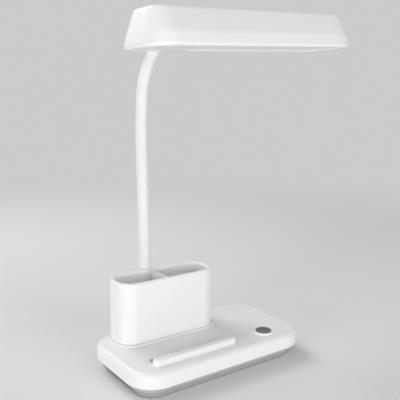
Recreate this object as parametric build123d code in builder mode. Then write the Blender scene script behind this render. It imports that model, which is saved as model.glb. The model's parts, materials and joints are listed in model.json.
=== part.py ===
from build123d import *

import os
from math import asin, atan2, cos, degrees, radians, sin, sqrt

# Rechargeable desk lamp: a base with a phone ledge, a pen holder and a key, a gooseneck that rises
# behind the pen holder, and a long light head.
# Millimetres. +Z is up, +X runs along the base's long side and +Y to the rear.
# The origin is the middle of the base's underside, on the table.

os.makedirs("parts", exist_ok=True)

# ---------------------------------------------------------------- driving dimensions: base
base_length = 190.0
base_width = 103.4
base_corner_radius = 25.7
base_top_z = 25.5
base_edge_radius = 4.5
cover_seam_z = 12.0
cover_wall = 2.2
cover_top_wall = 2.2

mat_thickness = 1.2
mat_margin = 2.0
bottom_floor = 2.2
bottom_taper = 8.5
bottom_step = 0.6
bottom_wall = 2.2
band_groove_z = 5.4
band_groove_height = 0.8
band_groove_depth = 0.9
tongue_height = 2.0
tongue_wall = 1.4
fit_gap = 0.3
press_gap = 0.05
hole_gap = 0.2

ledge_length = 90.0
ledge_thickness = 8.0
ledge_height = 5.6
ledge_edge_radius = 1.8
ledge_x = -28.5
ledge_from_front = 17.5
slot_length = 86.0
slot_width = 10.0
slot_depth = 3.5
slot_floor = 2.0

# ---------------------------------------------------------------- driving dimensions: pen holder
holder_length = 107.0
holder_depth = 38.5
holder_height = 60.1
holder_corner_radius = 16.0
holder_wall = 5.0
holder_floor = 4.0
holder_x = -24.8
holder_from_rear = 3.2
holder_rim_radius = 2.4
divider_thickness = 3.0
divider_x = -28.1
divider_drop = 1.0
neck_groove_gap = 1.05
collar_width = 2.4
collar_height = 1.5
peg_radius = 2.5
peg_height = 2.5
peg_spacing = 50.0

# ---------------------------------------------------------------- driving dimensions: key
key_from_side = 39.2
key_from_front = 20.9
key_radius = 7.7
key_stem_radius = 2.0
key_flange = 1.2
key_flange_thickness = 1.0
key_edge = 0.4
bezel_drop = 1.2
key_rise = 1.7
key_dish = 0.5
key_travel = 0.5
bezel_radius = 10.7
bezel_rise = 1.3

# ---------------------------------------------------------------- driving dimensions: neck
neck_x = -31.2
neck_beyond_rear = 0.3
neck_foot_radius = 6.15
neck_top_radius = 5.5
core_radius = 3.0
core_bore_radius = 1.4
sleeve_bore_radius = 3.2
sleeve_mouth_radius = 4.4
link_rim = 0.3
joint_gap = 0.3
link_pitch = 23.4
first_joint_z = 100.0
# Sideways lean of each joint of the resting neck, from the socket's axis.
neck_lean = (0.0, -0.5, -1.1, -1.7, -2.3, -2.6, -2.2, -0.5)
bend_radius = 83.0
bend_start = 9.0
bend_turn = 25.6
boot_radius = 10.0
boot_length = 13.0
boot_middle_radius = 6.6
boss_radius = 11.0
boss_blend = 8.0
ferrule_radius = 4.9
ferrule_length = 7.0
ferrule_flange = 1.0
plate_drop = 4.0
plate_length = 40.0
plate_corner_radius = 2.0
plate_screw_edge = 4.0
plate_screw_pitch = 16.0
plate_screw_radius = 1.2
plate_screw_head_radius = 2.4
plate_boss_radius = 3.6
plate_thickness = 2.0
nut_height = 3.0
nut_across_flats = 13.0

# ---------------------------------------------------------------- driving dimensions: head
head_length = 258.0
head_depth = 74.0
head_height = 36.0
head_corner_radius = 26.0
head_tilt = 2.35
head_roll = 1.5
head_neck_x = -93.5
head_neck_y = 22.0
neck_hole_radius = 6.0
clamp_shift = 5.0
clamp_length = 24.0
clamp_depth = 15.0
clamp_corner_radius = 2.0
clamp_height = 14.0
clamp_reach = 13.0
clamp_lug = 9.0
clamp_lug_thickness = 2.5
clamp_screw_radius = 1.2
clamp_screw_head_radius = 2.4
clamp_screw_head = 1.6
frame_height = 3.1
frame_edge = 1.6
frame_edge_middle = 0.3
seam_gap = 0.5
seam_depth = 0.9
skirt_top_z = 12.8
skirt_inset = 2.3
roof_inset_x = 9.5
roof_inset_y = 15.4
roof_edge_radius = 5.0
skirt_softness = 3.5
hood_wall = 2.0
window_length = 182.0
window_depth = 52.0
window_x = 28.0
window_radius = 12.0
window_ledge = 2.5
diffuser_thickness = 2.0
diffuser_rise = 0.3
rib_height = 3.0
rib_wall = 1.8
tray_height = 12.0
tray_wall = 1.2
tray_top_radius = 4.0
led_board_length = 172.0
led_board_depth = 26.0
led_board_thickness = 1.2
led_columns = 12
led_end_gap = 9.0
led_side_gap = 7.0
led_length = 3.5
led_width = 2.8
led_height = 0.8

# ---------------------------------------------------------------- driving dimensions: electronics
board_length = 40.0
board_front_gap = 9.7
board_rear_gap = 5.7
board_thickness = 1.6
board_corner_radius = 3.0
board_from_side = 41.0
board_z = 14.4
board_post_edge_x = 4.0
board_post_edge_y = 5.0
board_post_radius = 2.6
board_screw_radius = 1.0
board_screw_head_radius = 2.0
board_screw_length = 6.0
switch_size = 6.0
switch_height = 3.5
plunger_radius = 1.7
plunger_height = 0.5
inlet_width = 9.0
inlet_height = 3.3
inlet_length = 7.5
inlet_from_side = 49.0
inlet_wall = 0.4
inlet_back = 1.5
battery_length = 46.0
battery_width = 38.0
battery_thickness = 7.0
battery_edge_radius = 1.5
battery_from_side = 43.0
battery_y = -2.0
ballast_width = 70.0
ballast_thickness = 5.0
ballast_corner_radius = 6.0
ballast_from_side = 23.0
ballast_battery_gap = 3.0
screw_radius = 1.25
screw_head_radius = 2.9
screw_length = 11.0
screw_boss_radius = 3.8
screw_from_side = 17.0
screw_from_front = 22.7

# ---------------------------------------------------------------- derived places
ledge_y = ledge_from_front - base_width / 2
holder_y = base_width / 2 - holder_from_rear - holder_depth / 2
key_x = base_length / 2 - key_from_side
key_y = key_from_front - base_width / 2
neck_y = base_width / 2 + neck_beyond_rear
board_depth = base_width - board_front_gap - board_rear_gap
board_x = base_length / 2 - board_from_side
board_y = (board_front_gap - board_rear_gap) / 2
board_post_span_x = board_length - 2 * board_post_edge_x
board_post_span_y = board_depth - 2 * board_post_edge_y
inlet_x = base_length / 2 - inlet_from_side
battery_x = base_length / 2 - battery_from_side
screw_span_x = base_length - 2 * screw_from_side
screw_span_y = base_width - 2 * screw_from_front
ballast_left = ballast_from_side - base_length / 2
ballast_length = battery_x - battery_length / 2 - ballast_battery_gap - ballast_left
ballast_x = ballast_left + ballast_length / 2
led_pitch = (led_board_length - 2 * led_end_gap) / (led_columns - 1)
led_row_pitch = led_board_depth - 2 * led_side_gap
cavity_top_z = base_top_z - cover_top_wall
bottom_floor_z = mat_thickness + bottom_floor
plate_top_z = cavity_top_z - plate_drop
ferrule_bottom_z = plate_top_z - ferrule_length
plate_half_width = boss_radius - cover_wall - joint_gap
plate_screw_y = neck_y - plate_length + plate_screw_pitch / 2 + plate_screw_edge
board_top_z = board_z + board_thickness
joint_points = [
    Vector(neck_x + lean, neck_y, first_joint_z + link_pitch * count)
    for count, lean in enumerate(neck_lean)
]


def bend_point(distance):
    """Place on the resting neck's top bend, at a length measured from the last joint."""
    turn = radians(bend_start) + distance / bend_radius
    start = radians(bend_start)
    across = bend_radius * (cos(start) - cos(turn))
    rise = bend_radius * (sin(turn) - sin(start))
    return joint_points[-1] + Vector(across, 0, rise)


def bend_direction(distance):
    """Direction of the resting neck's top bend at that length."""
    turn = radians(bend_start) + distance / bend_radius
    return Vector(sin(turn), 0, cos(turn))


bend_length = bend_radius * radians(bend_turn)
neck_end = bend_point(bend_length)
neck_end_direction = bend_direction(bend_length)

tilt, roll = radians(head_tilt), radians(head_roll)
head_x_dir = Vector(cos(tilt), 0, sin(tilt))
head_z_dir = Vector(-sin(tilt) * cos(roll), sin(roll), cos(tilt) * cos(roll))
head_y_dir = head_z_dir.cross(head_x_dir)
head_origin = neck_end - head_x_dir * head_neck_x - head_y_dir * head_neck_y
head_plane = Plane(origin=head_origin, x_dir=head_x_dir, z_dir=head_z_dir)


def base_outline(inset):
    """The base seen from above, with the round boss that carries the neck, drawn in by an inset."""
    with BuildSketch() as outline:
        RectangleRounded(
            base_length - 2 * inset, base_width - 2 * inset, base_corner_radius - inset
        )
        with Locations((neck_x, neck_y)):
            Circle(boss_radius - inset)
        rear_y = base_width / 2 - inset
        corners = outline.vertices().filter_by(
            lambda v: abs(v.Y - rear_y) < 0.01 and abs(v.X - neck_x) < boss_radius
        )
        fillet(corners, boss_blend + inset)
    return outline.sketch


def hood_inset(height, roof_inset):
    """Inset of the hood's side at a height: an upright skirt, a soft edge, then the slope."""
    skirt_slope = skirt_inset / (skirt_top_z - frame_height)
    roof_slope = (roof_inset - skirt_inset) / (head_height - skirt_top_z)
    inset = skirt_slope * (height - frame_height)
    if height > skirt_top_z + skirt_softness:
        return inset + (roof_slope - skirt_slope) * (height - skirt_top_z)
    past = max(0, height - skirt_top_z + skirt_softness)
    return inset + (roof_slope - skirt_slope) * past**2 / (4 * skirt_softness)


def hood_outline(height, inset):
    """The hood's outline at a height above the head's underside, drawn in by a wall."""
    inset_x = hood_inset(height, roof_inset_x)
    inset_y = hood_inset(height, roof_inset_y)
    radius = head_corner_radius - (inset_x + inset_y) / 2 - inset
    with BuildSketch() as outline:
        RectangleRounded(
            head_length - 2 * (inset_x + inset), head_depth - 2 * (inset_y + inset), radius
        )
    return outline.sketch


# ---------------------------------------------------------------- base
outer_outline = base_outline(0)
inner_outline = base_outline(cover_wall)

with BuildSketch() as holder_outline:
    with Locations((holder_x, holder_y)):
        RectangleRounded(holder_length, holder_depth, holder_corner_radius)

with BuildSketch() as collar_outline:
    with Locations((holder_x, holder_y)):
        RectangleRounded(
            holder_length + 2 * (fit_gap + collar_width),
            holder_depth + 2 * (fit_gap + collar_width),
            holder_corner_radius + fit_gap + collar_width,
        )
    add(outer_outline, mode=Mode.INTERSECT)
    with Locations((holder_x, holder_y)):
        RectangleRounded(
            holder_length + 2 * fit_gap,
            holder_depth + 2 * fit_gap,
            holder_corner_radius + fit_gap,
            mode=Mode.SUBTRACT,
        )

with BuildPart() as base_top_cover:
    # Outer skin with its rounded upper edge, and the hollow under it.
    with BuildSketch(Plane.XY.offset(cover_seam_z)):
        add(outer_outline)
    extrude(amount=base_top_z - cover_seam_z)
    fillet(base_top_cover.faces().sort_by(Axis.Z)[-1].edges(), base_edge_radius)
    with BuildSketch(Plane.XY.offset(cover_seam_z)):
        add(inner_outline)
    extrude(amount=cavity_top_z - cover_seam_z, mode=Mode.SUBTRACT)
    # Collar round the foot of the pen holder, and its two locating pegs.
    with BuildSketch(Plane.XY.offset(base_top_z - base_edge_radius)):
        add(collar_outline.sketch)
    extrude(amount=base_edge_radius + collar_height)
    with BuildSketch(Plane.XY.offset(base_top_z - base_edge_radius)):
        add(holder_outline.sketch)
        add(outer_outline, mode=Mode.INTERSECT)
    extrude(amount=base_edge_radius)
    with BuildSketch(Plane.XY.offset(cover_seam_z)):
        add(inner_outline)
    extrude(amount=cavity_top_z - cover_seam_z, mode=Mode.SUBTRACT)
    with Locations((holder_x, holder_y, base_top_z + peg_height / 2)):
        with GridLocations(peg_spacing, 0, 2, 1):
            Cylinder(peg_radius, peg_height)
    # Phone slot: a sunk trough behind the ledge, with its own floor.
    slot_y = ledge_y + ledge_thickness / 2 + slot_width / 2
    with BuildSketch(Plane.XY.offset(base_top_z - slot_depth - slot_floor)):
        with Locations((ledge_x, slot_y)):
            SlotOverall(slot_length + 2 * cover_wall, slot_width + 2 * cover_wall)
    extrude(amount=slot_depth)
    with BuildSketch(Plane.XY.offset(base_top_z)):
        with Locations((ledge_x, slot_y)):
            SlotOverall(slot_length, slot_width)
    extrude(amount=-slot_depth, mode=Mode.SUBTRACT)
    # Bosses for the screws that hold the bottom cover.
    with BuildSketch(Plane.XY.offset(bottom_floor_z)):
        with GridLocations(screw_span_x, screw_span_y, 2, 2):
            Circle(screw_boss_radius)
    extrude(amount=cavity_top_z - bottom_floor_z)
    with BuildSketch(Plane.XY.offset(bottom_floor_z)):
        with GridLocations(screw_span_x, screw_span_y, 2, 2):
            Circle(screw_radius + press_gap)
    extrude(amount=screw_length, mode=Mode.SUBTRACT)
    # Tube round the neck and two bosses, which carry the neck plate.
    with BuildSketch(Plane.XY.offset(plate_top_z)):
        with Locations((neck_x, neck_y)):
            Circle(plate_half_width)
        with Locations((neck_x, plate_screw_y)):
            with GridLocations(0, plate_screw_pitch, 1, 2):
                Circle(plate_boss_radius)
                Circle(plate_screw_radius + press_gap, mode=Mode.SUBTRACT)
    extrude(amount=plate_drop)
    # Posts that carry the control board.
    with BuildSketch(Plane.XY.offset(board_top_z)):
        with Locations((board_x, board_y)):
            with GridLocations(board_post_span_x, board_post_span_y, 2, 2):
                Circle(board_post_radius)
                Circle(board_screw_radius + press_gap, mode=Mode.SUBTRACT)
    extrude(amount=cavity_top_z - board_top_z)
    # Hole for the neck, hole for the key and the mouth of the charging inlet.
    with Locations((neck_x, neck_y, base_top_z)):
        Cylinder(neck_foot_radius + fit_gap, 3 * base_edge_radius, mode=Mode.SUBTRACT)
    with Locations((key_x, key_y, base_top_z)):
        Cylinder(key_radius + key_flange + fit_gap, 3 * cover_top_wall, mode=Mode.SUBTRACT)
    with BuildSketch(Plane.XZ.offset(-base_width / 2)):
        with Locations((inlet_x, board_top_z + inlet_height / 2)):
            SlotOverall(inlet_width + 2 * fit_gap, inlet_height + 2 * fit_gap)
    extrude(amount=2 * cover_wall, both=True, mode=Mode.SUBTRACT)
    # Phone ledge.
    with BuildSketch(Plane.XY.offset(base_top_z)):
        with Locations((ledge_x, ledge_y)):
            SlotOverall(ledge_length, ledge_thickness)
    extrude(amount=ledge_height)
    fillet(base_top_cover.faces().sort_by(Axis.Z)[-1].edges(), ledge_edge_radius)
base_top_cover.part.label = "base_top_cover"
export_step(base_top_cover.part, "parts/base_top_cover.step")


def bottom_inset(height):
    """Inset of the grey bottom cover's side at a height: it draws in towards the table."""
    rise = (cover_seam_z - height) / (cover_seam_z - mat_thickness)
    return bottom_step + (bottom_taper - bottom_step) * rise


def bottom_outline(inset):
    """The grey cover's main outline, without the neck boss, drawn in by an inset."""
    with BuildSketch() as outline:
        RectangleRounded(
            base_length - 2 * inset, base_width - 2 * inset, base_corner_radius - inset
        )
    return outline.sketch


with BuildPart() as base_bottom_cover:
    # Side that draws in towards the table, with a groove round it above its lower lip.
    groove_top_z = band_groove_z + band_groove_height
    with BuildSketch(Plane.XY.offset(cover_seam_z)):
        add(bottom_outline(bottom_step))
    with BuildSketch(Plane.XY.offset(groove_top_z)):
        add(bottom_outline(bottom_inset(groove_top_z)))
    loft(ruled=True)
    with BuildSketch(Plane.XY.offset(band_groove_z)):
        add(bottom_outline(bottom_inset(groove_top_z) + band_groove_depth))
    extrude(amount=band_groove_height)
    with BuildSketch(Plane.XY.offset(band_groove_z)):
        add(bottom_outline(bottom_inset(groove_top_z)))
    with BuildSketch(Plane.XY.offset(mat_thickness)):
        add(bottom_outline(bottom_taper))
    loft(ruled=True)
    # Slanting foot under the neck boss.
    with BuildSketch(Plane.XY.offset(cover_seam_z)):
        with Locations((neck_x, neck_y)):
            Circle(boss_radius - bottom_step)
    with BuildSketch(Plane.XY.offset(mat_thickness)):
        with Locations((neck_x, neck_y - bottom_taper / 2)):
            Circle(boss_radius - bottom_taper / 2)
    loft(ruled=True)
    # Tongue that locates the top cover.
    with BuildSketch(Plane.XY.offset(cover_seam_z)):
        add(base_outline(cover_wall + fit_gap))
        add(base_outline(cover_wall + fit_gap + tongue_wall), mode=Mode.SUBTRACT)
    extrude(amount=tongue_height)
    # Hollow with sloping sides.
    with BuildSketch(Plane.XY.offset(bottom_floor_z)):
        add(bottom_outline(bottom_inset(bottom_floor_z) + bottom_wall))
    with BuildSketch(Plane.XY.offset(cover_seam_z)):
        add(bottom_outline(cover_wall + fit_gap + tongue_wall))
    loft(ruled=True, mode=Mode.SUBTRACT)
    # Countersunk holes for the cover screws.
    with Locations(Location((0, 0, mat_thickness), (180, 0, 0))):
        with GridLocations(screw_span_x, screw_span_y, 2, 2):
            CounterSinkHole(
                screw_radius + hole_gap, screw_head_radius + hole_gap, depth=bottom_floor
            )
base_bottom_cover.part.label = "base_bottom_cover"
export_step(base_bottom_cover.part, "parts/base_bottom_cover.step")

with BuildPart() as non_slip_mat:
    with BuildSketch():
        add(bottom_outline(bottom_taper + mat_margin))
    extrude(amount=mat_thickness)
non_slip_mat.part.label = "non_slip_mat"
export_step(non_slip_mat.part, "parts/non_slip_mat.step")

with BuildPart() as ballast_plate:
    with BuildSketch(Plane.XY.offset(bottom_floor_z)):
        with Locations((ballast_x, 0)):
            RectangleRounded(ballast_length, ballast_width, ballast_corner_radius)
    extrude(amount=ballast_thickness)
ballast_plate.part.label = "ballast_plate"
export_step(ballast_plate.part, "parts/ballast_plate.step")

with BuildPart() as cover_screw:
    # Countersunk screw: a conical head on a straight shank.
    head_z = mat_thickness + press_gap
    with BuildSketch(Plane.XZ):
        with BuildLine():
            Polyline(
                (0, head_z),
                (screw_head_radius, head_z),
                (screw_radius, head_z + screw_head_radius - screw_radius),
                (screw_radius, head_z + screw_length),
                (0, head_z + screw_length),
                close=True,
            )
        make_face()
    revolve(axis=Axis.Z)
with BuildPart() as base_screws:
    with GridLocations(screw_span_x, screw_span_y, 2, 2):
        add(cover_screw.part)
base_screws.part.label = "base_screws"
export_step(base_screws.part, "parts/base_screws.step")

# ---------------------------------------------------------------- electronics in the base
with BuildPart() as control_board:
    with BuildSketch(Plane.XY.offset(board_z)):
        with Locations((board_x, board_y)):
            RectangleRounded(board_length, board_depth, board_corner_radius)
            with GridLocations(board_post_span_x, board_post_span_y, 2, 2):
                Circle(board_screw_radius + hole_gap, mode=Mode.SUBTRACT)
    extrude(amount=board_thickness)
control_board.part.label = "control_board"
export_step(control_board.part, "parts/control_board.step")

with BuildPart() as board_screws:
    with BuildSketch(Plane.XY.offset(board_z)):
        with Locations((board_x, board_y)):
            with GridLocations(board_post_span_x, board_post_span_y, 2, 2):
                Circle(board_screw_head_radius)
    extrude(amount=-board_screw_radius)
    with BuildSketch(Plane.XY.offset(board_z)):
        with Locations((board_x, board_y)):
            with GridLocations(board_post_span_x, board_post_span_y, 2, 2):
                Circle(board_screw_radius)
    extrude(amount=board_screw_length)
board_screws.part.label = "board_screws"
export_step(board_screws.part, "parts/board_screws.step")

with BuildPart() as key_switch:
    with BuildSketch(Plane.XY.offset(board_top_z)):
        with Locations((key_x, key_y)):
            Rectangle(switch_size, switch_size)
    extrude(amount=switch_height)
    with BuildSketch(Plane.XY.offset(board_top_z + switch_height)):
        with Locations((key_x, key_y)):
            Circle(plunger_radius)
    extrude(amount=plunger_height)
key_switch.part.label = "key_switch"
export_step(key_switch.part, "parts/key_switch.step")

with BuildPart() as charging_inlet:
    inlet_plane = Plane.XZ.offset(-base_width / 2 + cover_wall / 2)
    inlet_z = board_top_z + inlet_height / 2
    with BuildSketch(inlet_plane):
        with Locations((inlet_x, inlet_z)):
            SlotOverall(inlet_width, inlet_height)
    extrude(amount=inlet_length)
    with BuildSketch(inlet_plane):
        with Locations((inlet_x, inlet_z)):
            SlotOverall(inlet_width - 2 * inlet_wall, inlet_height - 2 * inlet_wall)
            Rectangle(inlet_width / 2, inlet_height / 5, mode=Mode.SUBTRACT)
    extrude(amount=inlet_length - inlet_back, mode=Mode.SUBTRACT)
charging_inlet.part.label = "charging_inlet"
export_step(charging_inlet.part, "parts/charging_inlet.step")

with BuildPart() as battery_cell:
    with BuildSketch(Plane.XY.offset(bottom_floor_z)):
        with Locations((battery_x, battery_y)):
            RectangleRounded(battery_length, battery_width, battery_edge_radius)
    extrude(amount=battery_thickness)
    fillet(battery_cell.edges().group_by(Axis.Z)[-1], battery_edge_radius)
battery_cell.part.label = "battery_cell"
export_step(battery_cell.part, "parts/battery_cell.step")

# ---------------------------------------------------------------- key
key_axis = Axis((key_x, key_y, 0), (0, 0, 1))
key_section = Plane(origin=(key_x, key_y, 0), x_dir=(1, 0, 0), z_dir=(0, -1, 0))
bezel_foot_z = cavity_top_z - bezel_drop
key_top_z = base_top_z + key_rise
key_flange_z = bezel_foot_z - press_gap
key_foot_z = board_top_z + switch_height + plunger_height + key_travel + press_gap

with BuildPart() as key_bezel:
    # Ring that stands on the cover and drops through its hole.
    with BuildSketch(key_section):
        with BuildLine():
            Polyline(
                (key_radius + fit_gap, bezel_foot_z),
                (key_radius + key_flange, bezel_foot_z),
                (key_radius + key_flange, base_top_z),
                (bezel_radius, base_top_z),
                (bezel_radius - bezel_rise / 2, base_top_z + bezel_rise),
                (key_radius + fit_gap, base_top_z + bezel_rise),
                close=True,
            )
        make_face()
    revolve(axis=key_axis)
key_bezel.part.label = "key_bezel"
export_step(key_bezel.part, "parts/key_bezel.step")

with BuildPart() as key_cap:
    # Slightly dished cap with a retaining flange below the bezel and a stem over the switch.
    with BuildSketch(key_section):
        with BuildLine():
            rim = key_radius - key_edge
            dish_radius = (rim**2 + key_dish**2) / (2 * key_dish)
            dish_z = key_top_z - key_dish + dish_radius - sqrt(dish_radius**2 - rim**2 / 4)
            Polyline(
                (0, key_top_z - key_dish),
                (0, key_foot_z),
                (key_stem_radius, key_foot_z),
                (key_stem_radius, key_flange_z - key_flange_thickness),
                (key_radius + key_flange, key_flange_z - key_flange_thickness),
                (key_radius + key_flange, key_flange_z),
                (key_radius, key_flange_z),
                (key_radius, key_top_z - key_edge),
                (rim, key_top_z),
            )
            ThreePointArc((rim, key_top_z), (rim / 2, dish_z), (0, key_top_z - key_dish))
        make_face()
    revolve(axis=key_axis)
key_cap.part.label = "key_cap"
export_step(key_cap.part, "parts/key_cap.step")

# ---------------------------------------------------------------- pen holder
with BuildPart() as pen_holder:
    with BuildSketch(Plane.XY.offset(base_top_z)):
        add(holder_outline.sketch)
    extrude(amount=holder_height)
    # Hollow with a rounded rim, parted by the divider into two compartments.
    with BuildSketch(Plane.XY.offset(base_top_z + holder_floor)):
        with Locations((holder_x, holder_y)):
            RectangleRounded(
                holder_length - 2 * holder_wall,
                holder_depth - 2 * holder_wall,
                holder_corner_radius - holder_wall,
            )
    extrude(amount=holder_height, mode=Mode.SUBTRACT)
    fillet(pen_holder.faces().sort_by(Axis.Z)[-1].edges(), holder_rim_radius)
    with BuildSketch(Plane.XY.offset(base_top_z + holder_floor)):
        with Locations((divider_x, holder_y)):
            Rectangle(divider_thickness, holder_depth - holder_wall)
    extrude(amount=holder_height - holder_floor - divider_drop)
    # Groove at the rear that clears the neck, also while the holder is lifted off.
    with BuildSketch(Plane.XY.offset(base_top_z)):
        with Locations((neck_x, neck_y)):
            Circle(neck_foot_radius + neck_groove_gap)
    extrude(amount=holder_height, mode=Mode.SUBTRACT)
    with Locations((holder_x, holder_y, base_top_z + peg_height / 2)):
        with GridLocations(peg_spacing, 0, 2, 1):
            Cylinder(peg_radius + fit_gap, peg_height + 2 * fit_gap, mode=Mode.SUBTRACT)
pen_holder.part.label = "pen_holder"
export_step(pen_holder.part, "parts/pen_holder.step")

# ---------------------------------------------------------------- neck socket
with BuildPart() as neck_plate:
    # Steel plate, screwed under the cover, that carries the neck's ferrule.
    with BuildSketch(Plane.XY.offset(plate_top_z - plate_thickness)):
        with Locations((neck_x, neck_y)):
            Circle(plate_half_width)
        with Locations((neck_x, neck_y - plate_length / 2)):
            RectangleRounded(2 * plate_half_width, plate_length, plate_corner_radius)
        with Locations((neck_x, neck_y)):
            Circle(ferrule_radius + press_gap, mode=Mode.SUBTRACT)
        with Locations((neck_x, plate_screw_y)):
            with GridLocations(0, plate_screw_pitch, 1, 2):
                Circle(plate_screw_radius + hole_gap, mode=Mode.SUBTRACT)
    extrude(amount=plate_thickness)
neck_plate.part.label = "neck_plate"
export_step(neck_plate.part, "parts/neck_plate.step")

with BuildPart() as plate_screws:
    with BuildSketch(Plane.XY.offset(plate_top_z - plate_thickness)):
        with Locations((neck_x, plate_screw_y)):
            with GridLocations(0, plate_screw_pitch, 1, 2):
                Circle(plate_screw_head_radius)
    extrude(amount=-plate_screw_radius)
    with BuildSketch(Plane.XY.offset(plate_top_z - plate_thickness)):
        with Locations((neck_x, plate_screw_y)):
            with GridLocations(0, plate_screw_pitch, 1, 2):
                Circle(plate_screw_radius)
    extrude(amount=plate_thickness + plate_drop)
plate_screws.part.label = "plate_screws"
export_step(plate_screws.part, "parts/plate_screws.step")

with BuildPart() as neck_ferrule:
    with BuildSketch(Plane.XY.offset(ferrule_bottom_z)):
        with Locations((neck_x, neck_y)):
            Circle(ferrule_radius)
            Circle(core_radius + press_gap, mode=Mode.SUBTRACT)
    extrude(amount=ferrule_length)
    with BuildSketch(Plane.XY.offset(plate_top_z)):
        with Locations((neck_x, neck_y)):
            Circle(neck_foot_radius)
            Circle(core_radius + press_gap, mode=Mode.SUBTRACT)
    extrude(amount=ferrule_flange)
neck_ferrule.part.label = "neck_ferrule"
export_step(neck_ferrule.part, "parts/neck_ferrule.step")

with BuildPart() as neck_nut:
    with BuildSketch(Plane.XY.offset(plate_top_z - plate_thickness - nut_height)):
        with Locations((neck_x, neck_y)):
            RegularPolygon(nut_across_flats / 2, 6, major_radius=False)
            Circle(ferrule_radius + press_gap, mode=Mode.SUBTRACT)
    extrude(amount=nut_height)
neck_nut.part.label = "neck_nut"
export_step(neck_nut.part, "parts/neck_nut.step")

# ---------------------------------------------------------------- neck links
# Each link is a steel core with a silicone sleeve over it. A link's top is a ball and the next
# link's foot is a cup round that ball, both centred on the joint between them.


def link_profile(foot_radius, top_radius, bore, length, cup, mouth):
    """Half section of a link: bored through, with a ball at the top that is open to a mouth."""
    cup_radius = foot_radius + joint_gap
    foot_outer = sqrt(cup_radius**2 - foot_radius**2) if cup else 0.0
    foot_inner = sqrt(cup_radius**2 - bore**2) if cup else 0.0
    rim = mouth + link_rim
    rim_height = sqrt(top_radius**2 - rim**2)
    middle = atan2(rim_height, rim) / 2
    with BuildSketch(Plane.XZ) as section:
        with BuildLine():
            if cup:
                start, end = asin(foot_outer / cup_radius), asin(foot_inner / cup_radius)
                CenterArc((0, 0), cup_radius, degrees(start), degrees(end - start))
            else:
                Line((foot_radius, 0), (bore, 0))
            Polyline(
                (bore, foot_inner), (bore, length), (mouth, length + rim_height),
                (rim, length + rim_height),
            )
            ThreePointArc(
                (rim, length + rim_height),
                (top_radius * cos(middle), length + top_radius * sin(middle)),
                (top_radius, length),
            )
            Line((top_radius, length), (foot_radius, foot_outer))
        make_face()
    return section.sketch


def sleeve_radius(height):
    """Outer radius of the sleeve, which draws in evenly from the cover to the last joint."""
    share = (height - cavity_top_z) / (joint_points[-1].Z - cavity_top_z)
    return neck_foot_radius + (neck_top_radius - neck_foot_radius) * share


for number, top in enumerate(joint_points):
    cup = number > 0
    core_foot = joint_points[number - 1] if cup else Vector(neck_x, neck_y, ferrule_bottom_z)
    sleeve_foot = joint_points[number - 1] if cup else Vector(
        neck_x, neck_y, plate_top_z + ferrule_flange
    )
    up = (top - sleeve_foot).normalized()
    core_reach = (top - core_foot).length
    sleeve_reach = (top - sleeve_foot).length
    foot_radius = sleeve_radius(sleeve_foot.Z) if cup else neck_foot_radius
    with BuildPart(Plane(origin=core_foot, x_dir=(0, 1, 0), z_dir=up)) as neck_core:
        core_mouth = core_bore_radius + link_rim
        add(link_profile(core_radius, core_radius, core_bore_radius, core_reach, cup, core_mouth))
        revolve(axis=Axis(core_foot, up))
    neck_core.part.label = f"neck_core_{number + 1}"
    export_step(neck_core.part, f"parts/neck_core_{number + 1}.step")
    with BuildPart(Plane(origin=sleeve_foot, x_dir=(0, 1, 0), z_dir=up)) as neck_sleeve:
        add(
            link_profile(
                foot_radius, sleeve_radius(top.Z), sleeve_bore_radius, sleeve_reach, cup,
                sleeve_mouth_radius,
            )
        )
        revolve(axis=Axis(sleeve_foot, up))
    neck_sleeve.part.label = f"neck_sleeve_{number + 1}"
    export_step(neck_sleeve.part, f"parts/neck_sleeve_{number + 1}.step")

# ---------------------------------------------------------------- top of the neck
last_joint = joint_points[-1]
with BuildLine() as bend_path:
    ThreePointArc(last_joint, bend_point(bend_length / 2), neck_end)
with BuildLine() as core_path:
    ThreePointArc(last_joint, bend_point(bend_length / 2), neck_end)
    Line(neck_end, neck_end + neck_end_direction * clamp_reach)
foot_plane = Plane(origin=last_joint, x_dir=(0, 1, 0), z_dir=bend_direction(0))

with BuildPart() as neck_core_top:
    # Last stretch of the core, from the cup on the last joint up into the head.
    with BuildSketch(foot_plane):
        Circle(core_radius)
        Circle(core_bore_radius, mode=Mode.SUBTRACT)
    sweep(path=core_path.line)
    with Locations(last_joint):
        Sphere(core_radius + joint_gap, mode=Mode.SUBTRACT)
neck_core_top.part.label = "neck_core_top"
export_step(neck_core_top.part, "parts/neck_core_top.step")

with BuildPart() as neck_boot:
    # Silicone boot: it follows the bend and flares out against the head's underside.
    with BuildSketch(foot_plane):
        Circle(neck_top_radius)
    sweep(path=bend_path.line)
    for before_end, radius in ((boot_length, neck_top_radius), (boot_length / 2, boot_middle_radius)):
        distance = bend_length - before_end
        flare_plane = Plane(
            origin=bend_point(distance), x_dir=(0, 1, 0), z_dir=bend_direction(distance)
        )
        with BuildSketch(flare_plane):
            Circle(radius)
    with BuildSketch(Plane(origin=neck_end, x_dir=head_y_dir, z_dir=head_z_dir)):
        Circle(boot_radius)
    loft()
    split(bisect_by=head_plane.offset(-press_gap), keep=Keep.BOTTOM)
    with BuildSketch(foot_plane):
        Circle(sleeve_bore_radius)
    sweep(path=core_path.line, mode=Mode.SUBTRACT)
    with Locations(last_joint):
        Sphere(neck_top_radius + joint_gap, mode=Mode.SUBTRACT)
neck_boot.part.label = "neck_boot"
export_step(neck_boot.part, "parts/neck_boot.step")

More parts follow.
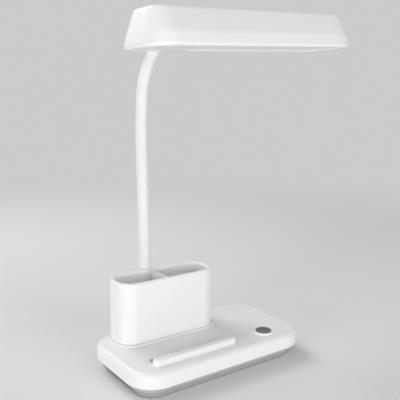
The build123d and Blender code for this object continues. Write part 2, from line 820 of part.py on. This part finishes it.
# ---------------------------------------------------------------- head
with BuildSketch() as window_outline:
    with Locations((window_x, 0)):
        RectangleRounded(window_length, window_depth, window_radius)
with BuildSketch() as diffuser_outline:
    with Locations((window_x, 0)):
        RectangleRounded(
            window_length + 2 * window_ledge, window_depth + 2 * window_ledge,
            window_radius + window_ledge,
        )
with BuildSketch() as diffuser_pocket:
    with Locations((window_x, 0)):
        RectangleRounded(
            window_length + 2 * (window_ledge + hole_gap),
            window_depth + 2 * (window_ledge + hole_gap),
            window_radius + window_ledge + hole_gap,
        )
hood_foot = frame_height + seam_gap
diffuser_rest = frame_height - diffuser_thickness + diffuser_rise

with BuildPart() as head_frame:
    # Lower rim with its rounded-off edge, and the step that the hood stands on.
    with BuildSketch(head_plane):
        add(hood_outline(frame_height, frame_edge))
    with BuildSketch(head_plane.offset(frame_height / 2)):
        add(hood_outline(frame_height, frame_edge_middle))
    with BuildSketch(head_plane.offset(frame_height)):
        add(hood_outline(frame_height, 0))
    loft(ruled=True)
    with BuildSketch(head_plane.offset(frame_height)):
        add(hood_outline(frame_height, seam_depth))
        add(hood_outline(frame_height, hood_wall + rib_wall), mode=Mode.SUBTRACT)
    extrude(amount=seam_gap)
    with BuildSketch(head_plane.offset(hood_foot)):
        add(hood_outline(hood_foot + rib_height, hood_wall + hole_gap))
        add(hood_outline(hood_foot + rib_height, hood_wall + rib_wall), mode=Mode.SUBTRACT)
    extrude(amount=rib_height)
    # Window with a ledge for the diffuser, and the hole for the neck.
    with BuildSketch(head_plane):
        add(window_outline.sketch)
    extrude(amount=frame_height, mode=Mode.SUBTRACT)
    with BuildSketch(head_plane.offset(diffuser_rest)):
        add(diffuser_pocket.sketch)
    extrude(amount=frame_height, mode=Mode.SUBTRACT)
    with BuildSketch(head_plane):
        with Locations((head_neck_x, head_neck_y)):
            Circle(neck_hole_radius)
    extrude(amount=frame_height, mode=Mode.SUBTRACT)
head_frame.part.label = "head_frame"
export_step(head_frame.part, "parts/head_frame.step")

soft_edge_heights = [skirt_top_z + skirt_softness * share for share in (-1, -1 / 3, 1 / 3, 1)]
with BuildPart() as head_hood:
    # Shell with an upright skirt and a sloping roof; the inside follows the outside.
    for height in (hood_foot, *soft_edge_heights, head_height):
        with BuildSketch(head_plane.offset(height)):
            add(hood_outline(height, 0))
    loft(ruled=True)
    roof = head_hood.faces().sort_by(Axis(head_origin, head_z_dir))[-1]
    fillet(roof.edges(), roof_edge_radius)
    for height in (hood_foot, *soft_edge_heights, head_height - hood_wall):
        with BuildSketch(head_plane.offset(height)):
            add(hood_outline(height, hood_wall))
    loft(ruled=True, mode=Mode.SUBTRACT)
head_hood.part.label = "head_hood"
export_step(head_hood.part, "parts/head_hood.step")

with BuildPart() as light_diffuser:
    with BuildSketch(head_plane.offset(diffuser_rest)):
        add(diffuser_outline.sketch)
    extrude(amount=diffuser_thickness)
light_diffuser.part.label = "light_diffuser"
export_step(light_diffuser.part, "parts/light_diffuser.step")

tray_foot = diffuser_rest + diffuser_thickness
with BuildPart() as light_tray:
    # White tray that flares from the LED board down to the diffuser.
    with BuildSketch(head_plane.offset(tray_foot)):
        with Locations((window_x, 0)):
            RectangleRounded(window_length, window_depth, window_radius)
    with BuildSketch(head_plane.offset(tray_foot + tray_height)):
        with Locations((window_x, 0)):
            RectangleRounded(led_board_length, led_board_depth, tray_top_radius)
    loft(ruled=True)
    with BuildSketch(head_plane.offset(tray_foot)):
        with Locations((window_x, 0)):
            RectangleRounded(
                window_length - 2 * tray_wall, window_depth - 2 * tray_wall,
                window_radius - tray_wall,
            )
    with BuildSketch(head_plane.offset(tray_foot + tray_height)):
        with Locations((window_x, 0)):
            RectangleRounded(
                led_board_length - 2 * tray_wall, led_board_depth - 2 * tray_wall,
                tray_top_radius - tray_wall,
            )
    loft(ruled=True, mode=Mode.SUBTRACT)
light_tray.part.label = "light_tray"
export_step(light_tray.part, "parts/light_tray.step")

led_board_foot = tray_foot + tray_height
with BuildPart() as led_board:
    with BuildSketch(head_plane.offset(led_board_foot)):
        with Locations((window_x, 0)):
            Rectangle(led_board_length, led_board_depth)
    extrude(amount=led_board_thickness)
led_board.part.label = "led_board"
export_step(led_board.part, "parts/led_board.step")

with BuildPart() as led_chips:
    with BuildSketch(head_plane.offset(led_board_foot)):
        with Locations((window_x, 0)):
            with GridLocations(led_pitch, led_row_pitch, led_columns, 2):
                Rectangle(led_length, led_width)
    extrude(amount=-led_height)
led_chips.part.label = "led_chips"
export_step(led_chips.part, "parts/led_chips.step")

clamp_spot = head_neck_x + clamp_shift, head_neck_y
lug_pitch = clamp_length + clamp_lug
with BuildPart() as neck_clamp:
    # Block on the frame that grips the end of the core, with two screw lugs.
    with BuildSketch(head_plane.offset(frame_height)):
        with Locations(clamp_spot):
            RectangleRounded(clamp_length, clamp_depth, clamp_corner_radius)
    extrude(amount=clamp_height)
    with BuildSketch(head_plane.offset(frame_height)):
        with Locations(clamp_spot):
            SlotOverall(clamp_length + 2 * clamp_lug, clamp_lug)
    extrude(amount=clamp_lug_thickness)
    with BuildSketch(head_plane.offset(frame_height)):
        with Locations(clamp_spot):
            with GridLocations(lug_pitch, 0, 2, 1):
                Circle(clamp_screw_radius + hole_gap)
    extrude(amount=clamp_lug_thickness, mode=Mode.SUBTRACT)
    with BuildSketch(Plane(origin=neck_end, x_dir=(0, 1, 0), z_dir=neck_end_direction)):
        Circle(core_radius + press_gap)
    extrude(amount=2 * clamp_height, both=True, mode=Mode.SUBTRACT)
neck_clamp.part.label = "neck_clamp"
export_step(neck_clamp.part, "parts/neck_clamp.step")

with BuildPart() as clamp_screws:
    # Pan-head screws through the clamp's lugs into the frame.
    with BuildSketch(head_plane.offset(frame_height + clamp_lug_thickness)):
        with Locations(clamp_spot):
            with GridLocations(lug_pitch, 0, 2, 1):
                Circle(clamp_screw_head_radius)
    extrude(amount=clamp_screw_head)
    with BuildSketch(head_plane.offset(frame_height)):
        with Locations(clamp_spot):
            with GridLocations(lug_pitch, 0, 2, 1):
                Circle(clamp_screw_radius)
    extrude(amount=clamp_lug_thickness)
clamp_screws.part.label = "clamp_screws"
export_step(clamp_screws.part, "parts/clamp_screws.step")
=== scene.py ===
import json
from math import cos, pi, radians, sin, sqrt

import bpy
from mathutils import Matrix, Vector


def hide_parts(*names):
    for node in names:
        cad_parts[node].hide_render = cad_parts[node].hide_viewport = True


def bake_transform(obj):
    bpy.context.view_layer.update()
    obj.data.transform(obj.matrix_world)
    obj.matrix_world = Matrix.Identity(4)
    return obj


# Desk lamp with an organizer base. Metres, in the CAD model's frame: +Z up, +X to the right,
# +Y to the rear, the origin under the middle of the base.
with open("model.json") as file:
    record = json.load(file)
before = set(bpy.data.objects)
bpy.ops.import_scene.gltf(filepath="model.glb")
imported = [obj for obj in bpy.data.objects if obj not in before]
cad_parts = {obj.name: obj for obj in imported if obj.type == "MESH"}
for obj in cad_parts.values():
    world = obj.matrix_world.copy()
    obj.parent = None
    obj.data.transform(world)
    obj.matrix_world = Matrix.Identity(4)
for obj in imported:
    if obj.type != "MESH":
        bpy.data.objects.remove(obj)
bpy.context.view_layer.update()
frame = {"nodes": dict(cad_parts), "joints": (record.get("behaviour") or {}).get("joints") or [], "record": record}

# ---------------------------------------------------------------- sizes
# The neck's and head's numbers are the CAD model's own, so that the skin lies where its links are.
MM = 0.001
NECK_FOOT_RADIUS = 6.15 * MM
NECK_TOP_RADIUS = 5.5 * MM
NECK_FOOT_Z = 24.0 * MM
BEND_RADIUS = 83.0 * MM
BEND_START = radians(9.0)
BEND_TURN = radians(25.6)
BOOT_RADIUS = 10.0 * MM
BOOT_LENGTH = 13.0 * MM
HEAD_TILT = radians(2.35)
HEAD_ROLL = radians(1.5)

# The skin's mesh: the spacing of its rings and the sides of each ring.
RING_STEP = 1.6 * MM
RING_SIDES = 48

# ---------------------------------------------------------------- materials
# Most of a noise's values lie between these two, so colours and roughness spread over them.
NOISE_LOW = 0.3
NOISE_HIGH = 0.7

# Moulded plastic: cells to a metre of its cloudy tone, handled patches and spark-eroded grain,
# the grain's depth, how far the tone wanders and how far the roughness does.
CLOUD_SCALE = 22.0
PATCH_SCALE = 60.0
GRAIN_SCALE = 1800.0
GRAIN_DETAIL = 2.0
GRAIN_DEPTH = 0.02 * MM
TONE_SPREAD = 0.012
ROUGHNESS_SPREAD = 0.05
PLASTIC_IOR = 1.5

# Turned and drawn metal: cells to a metre of its streaks, how much closer they lie along Z than
# across it, how dark they get, how much smoother and rougher they make it, and their depth.
STREAK_SCALE = 220.0
STREAK_DETAIL = 6.0
STREAK_STRETCH = (1, 1, 12)
STREAK_SHADE = 0.82
STREAK_SMOOTHER = 0.08
STREAK_ROUGHER = 0.12
STREAK_DEPTH = 0.01 * MM


def new_material(name):
    """A new material with a Principled shader: itself, that shader and the object coordinates."""
    material = bpy.data.materials.new(name)
    material.use_nodes = True
    nodes = material.node_tree.nodes
    shader = nodes["Principled BSDF"]
    place = nodes.new("ShaderNodeTexCoord")
    return material, shader, place.outputs["Object"]


def noise(material, place, scale, detail=4.0, stretch=None):
    """Noise with so many cells to a metre, in object space."""
    nodes, links = material.node_tree.nodes, material.node_tree.links
    if stretch is not None:
        mapping = nodes.new("ShaderNodeMapping")
        mapping.inputs["Scale"].default_value = stretch
        links.new(place, mapping.inputs["Vector"])
        place = mapping.outputs["Vector"]
    texture = nodes.new("ShaderNodeTexNoise")
    texture.inputs["Scale"].default_value = scale
    texture.inputs["Detail"].default_value = detail
    links.new(place, texture.inputs["Vector"])
    return texture.outputs["Fac"]


def vary_colour(material, shader, fac, dark, light):
    """Base colour that wanders between two tones with a noise."""
    nodes, links = material.node_tree.nodes, material.node_tree.links
    ramp = nodes.new("ShaderNodeValToRGB")
    ramp.color_ramp.elements[0].position = NOISE_LOW
    ramp.color_ramp.elements[1].position = NOISE_HIGH
    ramp.color_ramp.elements[0].color = (*dark, 1)
    ramp.color_ramp.elements[1].color = (*light, 1)
    links.new(fac, ramp.inputs["Fac"])
    links.new(ramp.outputs["Color"], shader.inputs["Base Color"])


def vary_roughness(material, shader, fac, low, high):
    """Roughness that wanders with a noise, as handled plastic does."""
    nodes, links = material.node_tree.nodes, material.node_tree.links
    spread = nodes.new("ShaderNodeMapRange")
    spread.inputs["From Min"].default_value = NOISE_LOW
    spread.inputs["From Max"].default_value = NOISE_HIGH
    spread.inputs["To Min"].default_value = low
    spread.inputs["To Max"].default_value = high
    links.new(fac, spread.inputs["Value"])
    links.new(spread.outputs["Result"], shader.inputs["Roughness"])


def add_bump(material, shader, fac, depth):
    """Bump of a real depth in metres from a noise."""
    nodes, links = material.node_tree.nodes, material.node_tree.links
    bump = nodes.new("ShaderNodeBump")
    bump.inputs["Distance"].default_value = depth
    links.new(fac, bump.inputs["Height"])
    links.new(bump.outputs["Normal"], shader.inputs["Normal"])


def plastic(name, tone, rough, grain=GRAIN_SCALE, depth=GRAIN_DEPTH):
    """Moulded plastic: a fine spark-eroded grain, a faintly cloudy tone and handled patches."""
    material, shader, place = new_material(name)
    cloud = noise(material, place, CLOUD_SCALE)
    vary_colour(
        material, shader, cloud,
        [channel * (1 - TONE_SPREAD) for channel in tone],
        [min(channel * (1 + TONE_SPREAD), 1.0) for channel in tone],
    )
    patches = noise(material, place, PATCH_SCALE)
    vary_roughness(material, shader, patches, rough - ROUGHNESS_SPREAD, rough + ROUGHNESS_SPREAD)
    add_bump(material, shader, noise(material, place, grain, GRAIN_DETAIL), depth)
    shader.inputs["IOR"].default_value = PLASTIC_IOR
    return material


def metal(name, tone, rough, stretch=STREAK_STRETCH):
    """Bare or plated metal with drawn streaks, or an even mottle where nothing draws them out."""
    material, shader, place = new_material(name)
    streaks = noise(material, place, STREAK_SCALE, STREAK_DETAIL, stretch)
    vary_colour(material, shader, streaks, [channel * STREAK_SHADE for channel in tone], tone)
    vary_roughness(material, shader, streaks, rough - STREAK_SMOOTHER, rough + STREAK_ROUGHER)
    add_bump(material, shader, streaks, STREAK_DEPTH)
    shader.inputs["Metallic"].default_value = 1.0
    return material


def silicone():
    """Smooth white silicone: a soft sheen, faint dust and hardly any grain."""
    material, shader, place = new_material("neck_silicone")
    dust = noise(material, place, 90.0, 6.0)
    vary_colour(material, shader, dust, (0.79, 0.79, 0.785), (0.83, 0.83, 0.825))
    vary_roughness(material, shader, noise(material, place, 140.0), 0.48, 0.6)
    add_bump(material, shader, noise(material, place, 700.0, 1.0), 0.004 * MM)
    shader.inputs["Sheen Weight"].default_value = 0.08
    shader.inputs["Sheen Roughness"].default_value = 0.5
    return material


def rubber():
    """Dark, dull rubber with a coarse grain, for the foot mat."""
    material, shader, place = new_material("mat_rubber")
    dust = noise(material, place, 80.0)
    vary_colour(material, shader, dust, (0.03, 0.03, 0.032), (0.05, 0.05, 0.052))
    vary_roughness(material, shader, noise(material, place, 150.0), 0.8, 0.92)
    add_bump(material, shader, noise(material, place, 700.0), 0.1 * MM)
    return material


def smoked_key():
    """Smoked, polished key with a faint dusting."""
    material, shader, place = new_material("key_dark")
    dust = noise(material, place, 260.0)
    vary_colour(material, shader, dust, (0.05, 0.05, 0.053), (0.07, 0.07, 0.073))
    vary_roughness(material, shader, noise(material, place, 500.0), 0.16, 0.26)
    add_bump(material, shader, noise(material, place, 900.0), 0.005 * MM)
    shader.inputs["Coat Weight"].default_value = 0.4
    shader.inputs["Coat Roughness"].default_value = 0.1
    return material


WHITE = (0.86, 0.86, 0.855)
EVEN = (1, 1, 1)
materials = {
    "cover_white": plastic("cover_white", WHITE, 0.42),
    "cover_grey": plastic("cover_grey", (0.5, 0.505, 0.515), 0.5, 1500.0, 0.03 * MM),
    "holder_white": plastic("holder_white", WHITE, 0.42),
    "head_white": plastic("head_white", WHITE, 0.4),
    # The trim and diffuser are whiter than the hood's white. The diffuser's milky plastic is partly its own tone,
    # and the rest of that extra whiteness on both is painted light, standing in for the floor's bounce on the
    # head's underside.
    "head_trim": plastic("head_trim", (0.9, 0.9, 0.895), 0.38),
    "ring_white": plastic("ring_white", (0.88, 0.88, 0.875), 0.25, depth=0.005 * MM),
    "tray_white": plastic("tray_white", (0.9, 0.9, 0.89), 0.3),
    "diffuser_milky": plastic("diffuser_milky", (0.95, 0.95, 0.94), 0.5, 400.0, 0.003 * MM),
    "switch_black": plastic("switch_black", (0.02, 0.02, 0.02), 0.4),
    "board_green": plastic("board_green", (0.02, 0.16, 0.07), 0.35, 900.0),
    "board_white": plastic("board_white", (0.8, 0.8, 0.79), 0.4),
    "led_yellow": plastic("led_yellow", (0.85, 0.65, 0.15), 0.3),
    "plate_steel": metal("plate_steel", (0.6, 0.6, 0.62), 0.35),
    "screw_steel": metal("screw_steel", (0.62, 0.62, 0.65), 0.25),
    "inlet_steel": metal("inlet_steel", (0.66, 0.66, 0.68), 0.22),
    "neck_steel": metal("neck_steel", (0.55, 0.55, 0.57), 0.3),
    "clamp_zinc": metal("clamp_zinc", (0.5, 0.5, 0.51), 0.5, EVEN),
    "battery_foil": metal("battery_foil", (0.62, 0.64, 0.68), 0.3, EVEN),
    "mat_rubber": rubber(),
    "neck_silicone": silicone(),
    "key_dark": smoked_key(),
}


def dress_nodes():
    """Each CAD node gets the material of its slot in the record."""
    for subpart in frame["record"]["subparts"]:
        node = frame["nodes"][subpart["node"]]
        node.data.materials.clear()
        node.data.materials.append(materials[subpart["material_slot"]])


# ---------------------------------------------------------------- gooseneck skin
hinges = [joint for joint in frame["joints"] if joint["type"] == "hinge"]
neck_joints = [Vector(hinge["pos_m"]) for hinge in hinges]
last_joint = neck_joints[-1]
neck_foot = Vector((neck_joints[0].x, neck_joints[0].y, NECK_FOOT_Z))
bend_length = BEND_RADIUS * BEND_TURN
head_up = Vector(
    (-sin(HEAD_TILT) * cos(HEAD_ROLL), sin(HEAD_ROLL), cos(HEAD_TILT) * cos(HEAD_ROLL))
)


def bend_place(distance):
    """Point and direction on the neck's top bend, at a length measured from the last joint."""
    turn = BEND_START + distance / BEND_RADIUS
    across = BEND_RADIUS * (cos(BEND_START) - cos(turn))
    rise = BEND_RADIUS * (sin(turn) - sin(BEND_START))
    return last_joint + Vector((across, 0, rise)), Vector((sin(turn), 0, cos(turn)))


def centre_line():
    """The stops of the centre line, at the foot and at each joint, and its direction at each."""
    stops = [neck_foot, *neck_joints]
    tangents = [Vector((0, 0, 1))]
    for before, after in zip(stops[:-2], stops[2:]):
        tangents.append((after - before).normalized())
    tangents.append(bend_place(0)[1])
    return stops, tangents


stops, tangents = centre_line()


def curve_between(start, end, start_way, end_way, share):
    """Point and direction on a smooth curve from one stop to the next."""
    reach = (end - start).length
    t, t2, t3 = share, share**2, share**3
    point = (
        start * (2 * t3 - 3 * t2 + 1) + start_way * reach * (t3 - 2 * t2 + t)
        + end * (3 * t2 - 2 * t3) + end_way * reach * (t3 - t2)
    )
    way = (
        start * (6 * t2 - 6 * t) + start_way * reach * (3 * t2 - 4 * t + 1)
        + end * (6 * t - 6 * t2) + end_way * reach * (3 * t2 - 2 * t)
    )
    return point, way.normalized()


def neck_radius(height):
    """The skin draws in a little towards the top."""
    share = (height - NECK_FOOT_Z) / (last_joint.z - NECK_FOOT_Z)
    return NECK_FOOT_RADIUS + (NECK_TOP_RADIUS - NECK_FOOT_RADIUS) * min(share, 1.0)


def stretch_rings(number, start_share, end_share):
    """Rings of the skin along the stretch after a stop, between two shares of its length."""
    start, end = stops[number], stops[number + 1]
    length = (end - start).length * (end_share - start_share)
    count = max(2, round(length / RING_STEP))
    rings = []
    for step in range(count + 1):
        share = start_share + (end_share - start_share) * step / count
        point, way = curve_between(start, end, tangents[number], tangents[number + 1], share)
        rings.append((point, way, neck_radius(point.z)))
    return rings


def boot_rings():
    """Rings along the top bend, which flare out on to the head's underside."""
    count = round(bend_length / RING_STEP)
    rings = []
    for step in range(1, count + 1):
        distance = bend_length * step / count
        point, way = bend_place(distance)
        share = max(0.0, 1 - (bend_length - distance) / BOOT_LENGTH)
        flare = 1 - sqrt(1 - share**2)
        radius = NECK_TOP_RADIUS + (BOOT_RADIUS - NECK_TOP_RADIUS) * flare
        turn = share**2 * (3 - 2 * share)
        rings.append((point, way.lerp(head_up, turn).normalized(), radius))
    return rings


def tube(name, rings):
    """A smooth open tube through rings of a point, a direction and a radius."""
    vertices, faces = [], []
    for point, way, radius in rings:
        side = Vector((0, 1, 0))
        side = (side - way * side.dot(way)).normalized()
        front = way.cross(side)
        for count in range(RING_SIDES):
            turn = 2 * pi * count / RING_SIDES
            vertices.append(point + (front * cos(turn) + side * sin(turn)) * radius)
    for ring in range(len(rings) - 1):
        for count in range(RING_SIDES):
            here = ring * RING_SIDES + count
            beside = ring * RING_SIDES + (count + 1) % RING_SIDES
            faces.append((here, beside, beside + RING_SIDES, here + RING_SIDES))
    mesh = bpy.data.meshes.new(name)
    mesh.from_pydata(vertices, [], faces)
    mesh.polygons.foreach_set("use_smooth", [True] * len(mesh.polygons))
    mesh.update()
    tube_object = bpy.data.objects.new(name, mesh)
    bpy.context.scene.collection.objects.link(tube_object)
    mesh.materials.append(materials["neck_silicone"])
    return tube_object


def make_neck_skins():
    """One skin over each joint, from halfway below it to halfway above it.

    The first also covers the foot, and the last the bend and the boot under the head.
    """
    last = len(hinges) - 1
    for number, hinge in enumerate(hinges):
        rings = stretch_rings(number, 0.0 if number == 0 else 0.5, 1.0)
        replaced = [f"neck_sleeve_{number + 1}"]
        if number < last:
            rings += stretch_rings(number + 1, 0.0, 0.5)[1:]
        else:
            rings += boot_rings()
            replaced.append("neck_boot")
        skin = tube(f"neck_skin_{number + 1}", rings)
        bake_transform(skin)
        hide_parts(*replaced)


# ---------------------------------------------------------------- floor, light and camera
FLOOR_SIZE = 60.0
FLOOR_TONE = 0.82
FLOOR_TONE_SPREAD = 0.004
FLOOR_CLOUD_SCALE = 3.0
FLOOR_ROUGHNESS = 0.8
FLOOR_GLOSS = 0.2
BACKDROP_TONE = 0.6
AMBIENT_TONE = 0.35

# How far from the lamp the floor starts to fade into the backdrop, and where it has.
FADE_START = 0.45
FADE_END = 1.25

# Each square lamp's name, place, side in metres and power in watts.
SOFT_BOXES = [
    ("rear_softbox", (-0.4, 1.1, 1.3), 1.0, 13.5),
    ("front_softbox", (0.4, -1.8, 0.6), 1.0, 11.4),
    ("left_softbox", (-1.3, -0.5, 0.2), 0.36, 7.1),
    ("low_softbox", (-0.1, -0.9, 0.1), 0.18, 0.95),
]
LIGHT_TARGET = Vector((0, 0, 0.15))

# The photograph's camera: its focal length is in pixels of the square image.
CAMERA_PLACE = Vector((-0.31869, -0.44456, 0.25904))
CAMERA_YAW = radians(35.55)
CAMERA_PITCH = radians(10.34)
CAMERA_ROLL = radians(0.46)
FOCAL_PIXELS = 589.85
IMAGE_PIXELS = 400
SENSOR_WIDTH = 36.0


def sees_backdrop(nodes, links):
    """1 for the rays that show the backdrop: straight to the camera, mirrored or through glass."""
    path = nodes.new("ShaderNodeLightPath")
    total = path.outputs["Is Camera Ray"]
    for ray in ("Is Glossy Ray", "Is Transmission Ray"):
        either = nodes.new("ShaderNodeMath")
        either.operation = "MAXIMUM"
        links.new(total, either.inputs[0])
        links.new(path.outputs[ray], either.inputs[1])
        total = either.outputs["Value"]
    return total


def fade_share(nodes, links, place):
    """0 near the lamp, and 1 far from it for the rays that show the backdrop."""
    distance = nodes.new("ShaderNodeVectorMath")
    distance.operation = "LENGTH"
    links.new(place, distance.inputs[0])
    fade = nodes.new("ShaderNodeMapRange")
    fade.interpolation_type = "SMOOTHSTEP"
    fade.inputs["From Min"].default_value = FADE_START
    fade.inputs["From Max"].default_value = FADE_END
    links.new(distance.outputs["Value"], fade.inputs["Value"])
    share = nodes.new("ShaderNodeMath")
    share.operation = "MULTIPLY"
    links.new(fade.outputs["Result"], share.inputs[0])
    links.new(sees_backdrop(nodes, links), share.inputs[1])
    return share.outputs["Value"]


def floor_material():
    """Dull pale paint, which gives way to the backdrop's own tone away from the lamp."""
    material, shader, place = new_material("floor")
    vary_colour(
        material, shader, noise(material, place, FLOOR_CLOUD_SCALE),
        (FLOOR_TONE - FLOOR_TONE_SPREAD,) * 3, (FLOOR_TONE + FLOOR_TONE_SPREAD,) * 3,
    )
    shader.inputs["Roughness"].default_value = FLOOR_ROUGHNESS
    shader.inputs["Specular IOR Level"].default_value = FLOOR_GLOSS
    nodes, links = material.node_tree.nodes, material.node_tree.links
    glow = nodes.new("ShaderNodeEmission")
    glow.inputs["Color"].default_value = (BACKDROP_TONE, BACKDROP_TONE, BACKDROP_TONE, 1)
    mix = nodes.new("ShaderNodeMixShader")
    links.new(fade_share(nodes, links, place), mix.inputs["Fac"])
    links.new(shader.outputs["BSDF"], mix.inputs[1])
    links.new(glow.outputs["Emission"], mix.inputs[2])
    links.new(mix.outputs["Shader"], nodes["Material Output"].inputs["Surface"])
    return material


def make_floor():
    """Plain pale floor under the lamp."""
    mesh = bpy.data.meshes.new("floor")
    half = FLOOR_SIZE / 2
    corners = [(-half, -half, 0), (half, -half, 0), (half, half, 0), (-half, half, 0)]
    mesh.from_pydata(corners, [], [(0, 1, 2, 3)])
    mesh.materials.append(floor_material())
    floor = bpy.data.objects.new("floor", mesh)
    bpy.context.scene.collection.objects.link(floor)


def make_world():
    """Even ambient light, with the pale backdrop where it is seen."""
    world = bpy.data.worlds.new("studio")
    world.use_nodes = True
    nodes, links = world.node_tree.nodes, world.node_tree.links
    tone = nodes.new("ShaderNodeMapRange")
    tone.inputs["To Min"].default_value = AMBIENT_TONE
    tone.inputs["To Max"].default_value = BACKDROP_TONE
    links.new(sees_backdrop(nodes, links), tone.inputs["Value"])
    links.new(tone.outputs["Result"], nodes["Background"].inputs["Strength"])
    nodes["Background"].inputs["Color"].default_value = (1, 1, 1, 1)
    bpy.context.scene.world = world


def soft_box(name, place, size, power):
    """A square lamp that faces the middle of the object and isn't itself seen."""
    light = bpy.data.lights.new(name, "AREA")
    light.size = size
    light.energy = power
    lamp = bpy.data.objects.new(name, light)
    lamp.location = place
    lamp.rotation_euler = (LIGHT_TARGET - Vector(place)).to_track_quat("-Z", "Y").to_euler()
    lamp.visible_camera = False
    bpy.context.scene.collection.objects.link(lamp)


def make_camera():
    """The photograph's viewpoint: place, direction, roll and focal length."""
    data = bpy.data.cameras.new("camera")
    data.sensor_width = data.sensor_height = SENSOR_WIDTH
    data.lens = FOCAL_PIXELS * SENSOR_WIDTH / IMAGE_PIXELS
    camera = bpy.data.objects.new("camera", data)
    ahead = Vector((
        sin(CAMERA_YAW) * cos(CAMERA_PITCH), cos(CAMERA_YAW) * cos(CAMERA_PITCH),
        -sin(CAMERA_PITCH),
    ))
    right = Vector((cos(CAMERA_YAW), -sin(CAMERA_YAW), 0))
    up = right.cross(ahead)
    right_rolled = right * cos(CAMERA_ROLL) + up * sin(CAMERA_ROLL)
    up_rolled = up * cos(CAMERA_ROLL) - right * sin(CAMERA_ROLL)
    turn = Matrix((right_rolled, up_rolled, -ahead)).transposed()
    camera.matrix_world = Matrix.Translation(CAMERA_PLACE) @ turn.to_4x4()
    bpy.context.scene.collection.objects.link(camera)
    bpy.context.scene.camera = camera


dress_nodes()
make_neck_skins()
make_floor()
make_world()
for name, place, size, power in SOFT_BOXES:
    soft_box(name, place, size, power)
make_camera()
bpy.context.scene.view_settings.view_transform = "Standard"
